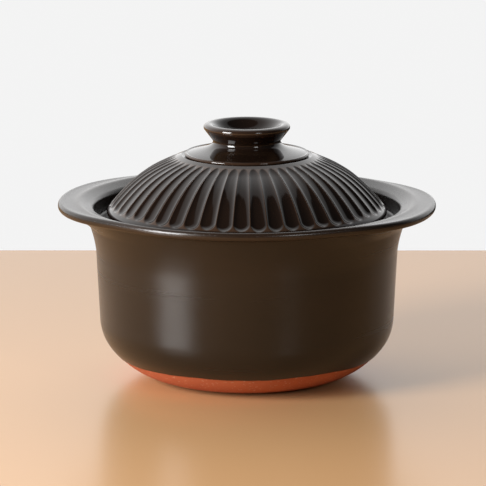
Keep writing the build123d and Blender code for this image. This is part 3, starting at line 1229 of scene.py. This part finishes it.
    def turned(self, spot: np.ndarray) -> Vector:
        """Returns a spot or a normal of the meridian, turned to the steam hole's flute."""
        turn = math.radians(self.flute_turn - 90 + (self.hole_flute + 0.5) * 360 / self.flute_count)
        return Vector((spot[0] * math.cos(turn), spot[0] * math.sin(turn), spot[1]))

    def steam_hole(self) -> bpy.types.Object:
        """Makes the cutter of the steam hole, flared where it meets the glaze.

        Returns:
            The cutter.
        """
        spots, normals = self.meridian(self.dome_rows)
        row = int(np.argmin(np.abs(spots[:, 0] - self.hole_place_radius)))
        depth = self.flute_top_depth
        wide = self.hole_radius + self.hole_flare
        skin = Skin(around(HOLE_COLUMNS))
        skin.path([
            (self.hole_radius, -self.hole_reach),
            (self.hole_radius, -depth - self.hole_flare * 3),
            (self.hole_radius + self.hole_flare * 0.3, -depth - self.hole_flare * 1.5),
            (wide, -depth),
            (wide + self.hole_flare, self.hole_reach),
        ])
        cutter = skin.piece("steam_hole", [])
        cutter.rotation_mode = "QUATERNION"
        cutter.rotation_quaternion = self.turned(normals[row]).to_track_quat("Z", "Y")
        cutter.location = self.turned(spots[row]) * MM
        return cutter

    def build(self) -> None:
        """Builds and dresses the outer lid."""
        skin = Skin(self.angles)
        self.grow_under(skin)
        self.grow_dome(skin)
        self.grow_crown(skin)
        piece = skin.piece("fluted_outer_lid", [GLOSSY_BLACK.material(), RED_CLAY.material()])
        cut(piece, self.steam_hole())
        settle(piece, Body.OUTER, Slot.LID, BODY_CREASE, "outer_lid")


@dataclass
class OuterKnob:
    """The outer lid's knob: a sloping collar disc, a waist and a hollow flared top."""

    foot_height: float = 145.5
    collar_radius: float = 40.3
    collar_foot_radius: float = 39.3
    collar_edge_pull: float = 0.9
    collar_edge_height: float = 146.8
    collar_edge_thin: float = 0.5
    collar_ridge_radius: float = 39.5
    collar_ridge_height: float = 147.9
    collar_inner_radius: float = 38.3
    collar_inner_height: float = 147.6
    collar_inner_pull: float = 0.35
    collar_inner_drop: float = 0.1
    collar_inner_thin: float = 0.3
    collar_rise: float = 2.4
    collar_sweep: float = 7.0
    waist_radius: float = 21.9
    waist_height: float = 155.6
    waist_pull: float = 4.6
    under_radius: float = 27.1
    under_height: float = 162.4
    under_pull: float = 1.0
    under_thin: float = 0.35
    radius: float = 28.0
    radius_height: float = 164.4
    crest_radius: float = 24.6
    top_height: float = 166.8
    round_share: float = 0.55
    crest_thin: float = 0.3
    dish_depth: float = 9.0
    dish_floor_radius: float = 8.0
    dish_lip_pull: float = 5.146
    dish_floor_pull: float = 10.458
    columns: int = 240

    def grow_collar(self, skin: Skin) -> None:
        """Adds the flat foot, the collar's edge and the sloping disc up to the waist.

        Args:
            skin: Skin that grows.
        """
        foot = (self.collar_foot_radius, self.foot_height)
        skin.disc(self.collar_foot_radius, self.foot_height, (0.1, 0.5, 0.9))
        edge = (self.collar_radius + self.collar_edge_pull, self.collar_edge_height)
        ridge = (self.collar_ridge_radius, self.collar_ridge_height)
        skin.path(bezier([foot, edge, ridge], 10), thin=self.collar_edge_thin)
        inner = (self.collar_inner_radius, self.collar_inner_height)
        groove = (inner[0] + self.collar_inner_pull, inner[1] - self.collar_inner_drop)
        skin.path(bezier([ridge, groove, inner], 6)[1:-1], thin=self.collar_inner_thin)
        sweep = [
            inner,
            (inner[0] - self.collar_sweep, inner[1] + self.collar_rise),
            (self.waist_radius, self.waist_height - self.waist_pull),
            (self.waist_radius, self.waist_height),
        ]
        skin.path(bezier(sweep, 36))

    def grow_top(self, skin: Skin) -> None:
        """Adds the flare, the rounded edge and the dish on top.

        Args:
            skin: Skin that grows.
        """
        waist, under = (self.waist_radius, self.waist_height), (self.under_radius, self.under_height)
        rise = (under[0] - waist[0], under[1] - waist[1])
        length = math.hypot(*rise)
        ahead = (rise[0] / length * self.under_pull, rise[1] / length * self.under_pull)
        for share in np.linspace(0, 1, 9)[1:-1]:
            skin.ring(waist[0] + rise[0] * share, waist[1] + rise[1] * share)
        edge, crest = (self.radius, self.radius_height), (self.crest_radius, self.top_height)
        high, wide = crest[1] - edge[1], edge[0] - crest[0]
        floor = (self.dish_floor_radius, self.top_height - self.dish_depth)
        flare = [
            under,
            (under[0] + ahead[0], under[1] + ahead[1]),
            (edge[0], edge[1] - self.under_pull),
            edge,
        ]
        skin.path(bezier(flare, 12), thin=self.under_thin)
        turn = [
            edge,
            (edge[0], edge[1] + high * self.round_share),
            (crest[0] + wide * self.round_share, crest[1]),
            crest,
        ]
        skin.path(bezier(turn, 18)[1:], thin=self.crest_thin)
        dish = [
            crest,
            (crest[0] - self.dish_lip_pull, crest[1]),
            (floor[0] + self.dish_floor_pull, floor[1]),
            floor,
        ]
        skin.path(bezier(dish, 30)[1:])
        skin.disc(*floor, (0.6, 0.2))

    def build(self) -> None:
        """Builds and dresses the knob."""
        skin = Skin(around(self.columns))
        self.grow_collar(skin)
        self.grow_top(skin)
        piece = skin.piece("hollow_knob", [GLOSSY_BLACK.material()])
        settle(piece, Body.OUTER, Slot.LID, KNOB_CREASE, "outer_lid_knob")


@dataclass
class InnerLid:
    """The flat inner lid with two steam holes, and the button that lifts it."""

    radius: float = 85.9
    seat_height: float = 95.6
    thickness: float = 6.5
    edge_round: float = 1.5
    edge_thin: float = 0.4
    bare_rim_width: float = 7.0
    hole_radius: float = 4.0
    hole_place: float = 48.0
    hole_flare: float = 0.7
    hole_flare_share: float = 1.4
    hole_reach: float = 12.0
    button_foot_radius: float = 11.0
    button_waist_radius: float = 9.0
    button_waist_rise: float = 6.0
    button_radius: float = 14.3
    button_radius_rise: float = 12.0
    button_height: float = 16.5
    button_crown_radius: float = 6.0
    button_crown_pull: float = 5.0
    button_pull: float = 3.0
    button_thin: float = 0.2
    columns: int = 240

    def steam_hole(self, side: int) -> bpy.types.Object:
        """Makes the cutter of one steam hole, flared at both faces of the lid.

        Args:
            side: -1 for the hole in front, 1 for the hole behind.

        Returns:
            The cutter.
        """
        skin = Skin(around(HOLE_COLUMNS))
        radius, top, flare = self.hole_radius, self.seat_height + self.thickness, self.hole_flare
        rows = (
            (radius + 2 * flare, -self.hole_reach),
            (radius + flare, 0),
            (radius, flare * self.hole_flare_share),
        )
        skin.path([(wide, self.seat_height + inward) for wide, inward in rows])
        skin.path([(wide, top - inward) for wide, inward in reversed(rows)])
        cutter = skin.piece("steam_hole", [])
        cutter.location = (0, side * self.hole_place * MM, 0)
        return cutter

    def build_disc(self) -> None:
        """Builds and dresses the disc."""
        skin = Skin(around(self.columns))
        turn, top = self.edge_round, self.seat_height + self.thickness
        for radius in (4, 20, 40, 60):
            skin.ring(radius, self.seat_height)
        skin.ring(self.radius - self.bare_rim_width, self.seat_height, Surface.CLAY)
        low = (self.radius - turn, self.seat_height + turn)
        skin.path(arc(low, turn, 0, 90, 8), Surface.CLAY)
        high = (self.radius - turn, top - turn)
        skin.path(arc(high, turn, 90, 180, 8), thin=self.edge_thin)
        for radius in (70, 50, 30, 10):
            skin.ring(radius, top)
        piece = skin.piece("flat_inner_lid", [SATIN_BLACK.material(), RED_CLAY.material()])
        for side in (-1, 1):
            cut(piece, self.steam_hole(side))
        settle(piece, Body.INNER, Slot.INNER, BODY_CREASE, "inner_lid")

    def build_button(self) -> None:
        """Builds and dresses the button."""
        base, pull = self.seat_height + self.thickness, self.button_pull
        skin = Skin(around(self.columns))
        foot = (self.button_foot_radius, base)
        waist = (self.button_waist_radius, base + self.button_waist_rise)
        widest = (self.button_radius, base + self.button_radius_rise)
        crown = (self.button_crown_radius, base + self.button_height)
        skin.disc(*foot, (0.2, 0.9))
        sweep = [foot, (waist[0], base + self.button_waist_rise / 3), waist]
        skin.path(bezier(sweep, 12))
        flare = [waist, (waist[0], waist[1] + pull), (widest[0], widest[1] - pull), widest]
        skin.path(bezier(flare, 14)[1:])
        over = (crown[0] + self.button_crown_pull, crown[1])
        cap = [widest, (widest[0], widest[1] + pull), over, crown]
        skin.path(bezier(cap, 14)[1:], thin=self.button_thin)
        skin.disc(*crown, (0.3,))
        piece = skin.piece("inner_lid_button", [SATIN_BLACK.material()])
        settle(piece, Body.INNER, Slot.INNER, KNOB_CREASE, "inner_lid_knob")

    def build(self) -> None:
        """Builds the disc and the button."""
        self.build_disc()
        self.build_button()


@dataclass
class Studio:
    """A pale table, a bright wall behind it, a dim room in front, a window and a warm glow."""

    camera_turn: float = -82.0
    camera_distance: float = 2.405
    camera_height: float = 0.5855
    aim_height: float = 0.0875
    aim_left: float = 0.0025
    frame_pixels: int = 486
    focal_pixels: float = 3768.0
    camera_far: float = 20.0
    table_back: float = 0.395
    table_front: float = 3.2
    table_half_width: float = 3.0
    table_colour: Colour = linear(204, 159, 113)
    table_roughness: float = 0.24
    table_specular: float = 0.14
    wall_level: float = 0.9
    back_level: float = 1.6
    ceiling_level: float = 0.42
    room_level: float = 0.04
    back_turn: float = 116.0
    back_dip: float = 0.05
    back_full: float = 0.9
    back_edge: float = 0.03
    horizon_softness: float = 0.06
    below_left_end: float = -0.6
    below_right_end: float = 0.2
    below_left_level: float = 0.8
    below_right_level: float = 0.02
    below_colour: Colour = linear(240, 190, 130)
    window_turn: float = -138.0
    window_distance: float = 1.5
    window_rise: float = 20.0
    window_width: float = 0.6
    window_height: float = 0.78
    window_power: float = 37.0
    far_window_turn: float = -50.0
    far_window_rise: float = 24.0
    far_window_size: float = 0.3
    far_window_power: float = 2.5

    def outward(self, turn: float) -> Vector:
        """Returns the level direction from the pot's axis at an angle in degrees."""
        return Vector((math.cos(math.radians(turn)), math.sin(math.radians(turn)), 0))

    def raised(self, turn: float, rise: float) -> Vector:
        """Returns the direction at a turn and a rise above the level, both in degrees."""
        level = self.outward(turn) * math.cos(math.radians(rise))
        return level + Vector((0, 0, math.sin(math.radians(rise))))

    def sides(self) -> tuple[Vector, Vector]:
        """Returns the level directions towards the camera and to the right of its picture."""
        towards = self.outward(self.camera_turn)
        return towards, Vector((-towards.y, towards.x, 0))

    def place(self, made: bpy.types.Object, spot: Vector, aim: Vector) -> None:
        """Puts a camera or a lamp in the scene.

        Args:
            made: The camera or the lamp.
            spot: Where it stands.
            aim: What it faces.
        """
        made.location = spot
        made.rotation_euler = (aim - spot).to_track_quat("-Z", "Y").to_euler()
        bpy.context.scene.collection.objects.link(made)

    def camera(self) -> None:
        """Makes the camera where the photograph was taken from."""
        towards, right = self.sides()
        spot = towards * self.camera_distance + Vector((0, 0, self.camera_height))
        aim = Vector((0, 0, self.aim_height)) - right * self.aim_left
        data = bpy.data.cameras.new("camera")
        data.lens = data.sensor_width * self.focal_pixels / self.frame_pixels
        data.clip_end = self.camera_far
        made = bpy.data.objects.new("camera", data)
        self.place(made, spot, aim)
        bpy.context.scene.camera = made

    def table(self) -> None:
        """Makes the plain pale table, whose back edge lies a little behind the pot."""
        towards, right = self.sides()
        corners = [
            -towards * self.table_back - right * self.table_half_width,
            -towards * self.table_back + right * self.table_half_width,
            towards * self.table_front + right * self.table_half_width,
            towards * self.table_front - right * self.table_half_width,
        ]
        mesh = bpy.data.meshes.new("table")
        mesh.from_pydata([tuple(corner) for corner in corners], [], [(3, 2, 1, 0)])
        material = bpy.data.materials.new("pale_table")
        material.use_nodes = True
        shader = material.node_tree.nodes["Principled BSDF"]
        shader.inputs["Base Color"].default_value = opaque(self.table_colour)
        shader.inputs["Roughness"].default_value = self.table_roughness
        shader.inputs["Specular IOR Level"].default_value = self.table_specular
        mesh.materials.append(material)
        made = bpy.data.objects.new("table", mesh)
        bpy.context.scene.collection.objects.link(made)

    def along(
        self, tree: bpy.types.NodeTree, place: bpy.types.NodeSocket, way: Vector
    ) -> bpy.types.NodeSocket:
        """Measures how far each direction of the world points one way.

        Args:
            tree: The world's node tree.
            place: Socket of the direction.
            way: The way that is measured along.

        Returns:
            Socket of the measure, from -1 to 1.
        """
        dot = tree.nodes.new("ShaderNodeVectorMath")
        dot.operation = "DOT_PRODUCT"
        dot.inputs[1].default_value = way
        tree.links.new(place, dot.inputs[0])
        return dot.outputs["Value"]

    def sky(
        self, tree: bpy.types.NodeTree, place: bpy.types.NodeSocket
    ) -> bpy.types.NodeSocket:
        """Makes the light of the bright wall, of the ceiling and of the dim room in front.

        Args:
            tree: The world's node tree.
            place: Socket of the direction.

        Returns:
            Socket of the light's level.
        """
        way = self.outward(self.back_turn) - Vector((0, 0, self.back_dip))
        back = self.along(tree, place, way)
        behind = tree.nodes.new("ShaderNodeMapRange")
        behind.interpolation_type = "SMOOTHSTEP"
        fill(behind, From_Max=self.back_full, To_Min=self.ceiling_level, To_Max=self.back_level)
        level = tree.nodes.new("ShaderNodeMapRange")
        level.interpolation_type = "SMOOTHSTEP"
        fill(level, From_Min=-self.back_edge, From_Max=self.back_edge, To_Min=self.room_level)
        tree.links.new(back, behind.inputs["Value"])
        tree.links.new(back, level.inputs["Value"])
        tree.links.new(behind.outputs["Result"], level.inputs["To Max"])
        return level.outputs["Result"]

    def glow(
        self, tree: bpy.types.NodeTree, place: bpy.types.NodeSocket
    ) -> bpy.types.NodeSocket:
        """Makes the warm light that comes up from below, bright on the left, dim on the right.

        Args:
            tree: The world's node tree.
            place: Socket of the direction.

        Returns:
            Socket of the light's colour.
        """
        below = fill(
            tree.nodes.new("ShaderNodeMapRange"),
            From_Min=self.below_left_end,
            From_Max=self.below_right_end,
            To_Min=self.below_left_level,
            To_Max=self.below_right_level,
        )
        dim = tree.nodes.new("ShaderNodeVectorMath")
        dim.operation = "SCALE"
        dim.inputs[0].default_value = self.below_colour
        tree.links.new(self.along(tree, place, self.sides()[1]), below.inputs["Value"])
        tree.links.new(below.outputs["Result"], dim.inputs["Scale"])
        return dim.outputs["Vector"]

    def world(self) -> None:
        """Makes the world's light, and the plain pale wall that the camera sees behind."""
        world = bpy.data.worlds.new("studio")
        bpy.context.scene.world = world
        world.use_nodes = True
        tree = world.node_tree
        nodes, link = tree.nodes, tree.links.new
        light = nodes["Background"]
        light.inputs["Strength"].default_value = 1.0
        place = nodes.new("ShaderNodeTexCoord").outputs["Generated"]
        parts = nodes.new("ShaderNodeSeparateXYZ")
        above = nodes.new("ShaderNodeMapRange")
        above.interpolation_type = "SMOOTHSTEP"
        fill(above, From_Min=-self.horizon_softness, From_Max=0.0)
        half = nodes.new("ShaderNodeMix")
        half.data_type = "RGBA"
        seen = nodes.new("ShaderNodeLightPath")
        mix = nodes.new("ShaderNodeMix")
        mix.data_type = "RGBA"
        wall = self.wall_level
        mix.inputs["B"].default_value = opaque((wall, wall, wall))
        link(place, parts.inputs[0])
        link(parts.outputs["Z"], above.inputs["Value"])
        link(above.outputs["Result"], half.inputs["Factor"])
        link(self.glow(tree, place), half.inputs["A"])
        link(self.sky(tree, place), half.inputs["B"])
        link(half.outputs["Result"], mix.inputs["A"])
        link(seen.outputs["Is Camera Ray"], mix.inputs["Factor"])
        link(mix.outputs["Result"], light.inputs["Color"])

    def lamp(self, name: str, spot: Vector, width: float, height: float, power: float) -> None:
        """Makes a soft rectangular lamp that faces the pot.

        Args:
            name: Its name.
            spot: Where its middle is.
            width: Its width.
            height: Its height.
            power: Its power in watts.
        """
        data = bpy.data.lights.new(name, "AREA")
        data.shape = "RECTANGLE"
        data.size, data.size_y = width, height
        data.energy = power
        made = bpy.data.objects.new(name, data)
        made.visible_camera = False
        self.place(made, spot, Vector((0, 0, self.aim_height)))

    def build(self) -> None:
        """Makes the camera, the table, the world and the lamps of the two windows."""
        scene = bpy.context.scene
        scene.view_settings.view_transform = "Standard"
        self.camera()
        self.table()
        self.world()
        spot = self.raised(self.window_turn, self.window_rise) * self.window_distance
        self.lamp("window", spot, self.window_width, self.window_height, self.window_power)
        spot = self.raised(self.far_window_turn, self.far_window_rise) * self.window_distance
        side = self.far_window_size
        self.lamp("far_window", spot, side, side, self.far_window_power)


def corners(box: tuple[Vector, Vector]) -> list[list[float]]:
    """Returns a box's lowest and highest corners as plain lists."""
    return [list(corner) for corner in box]


def main() -> None:
    """Builds the pot, its lids and the studio."""
    logging.basicConfig(level=logging.INFO, format="%(name)s: %(message)s")
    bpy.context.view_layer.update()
    for part in (Pot(), OuterLid(), OuterKnob(), InnerLid(), Studio()):
        part.build()
        LOG.info("%s is done", type(part).__name__)


if __name__ == "__main__":
    main()
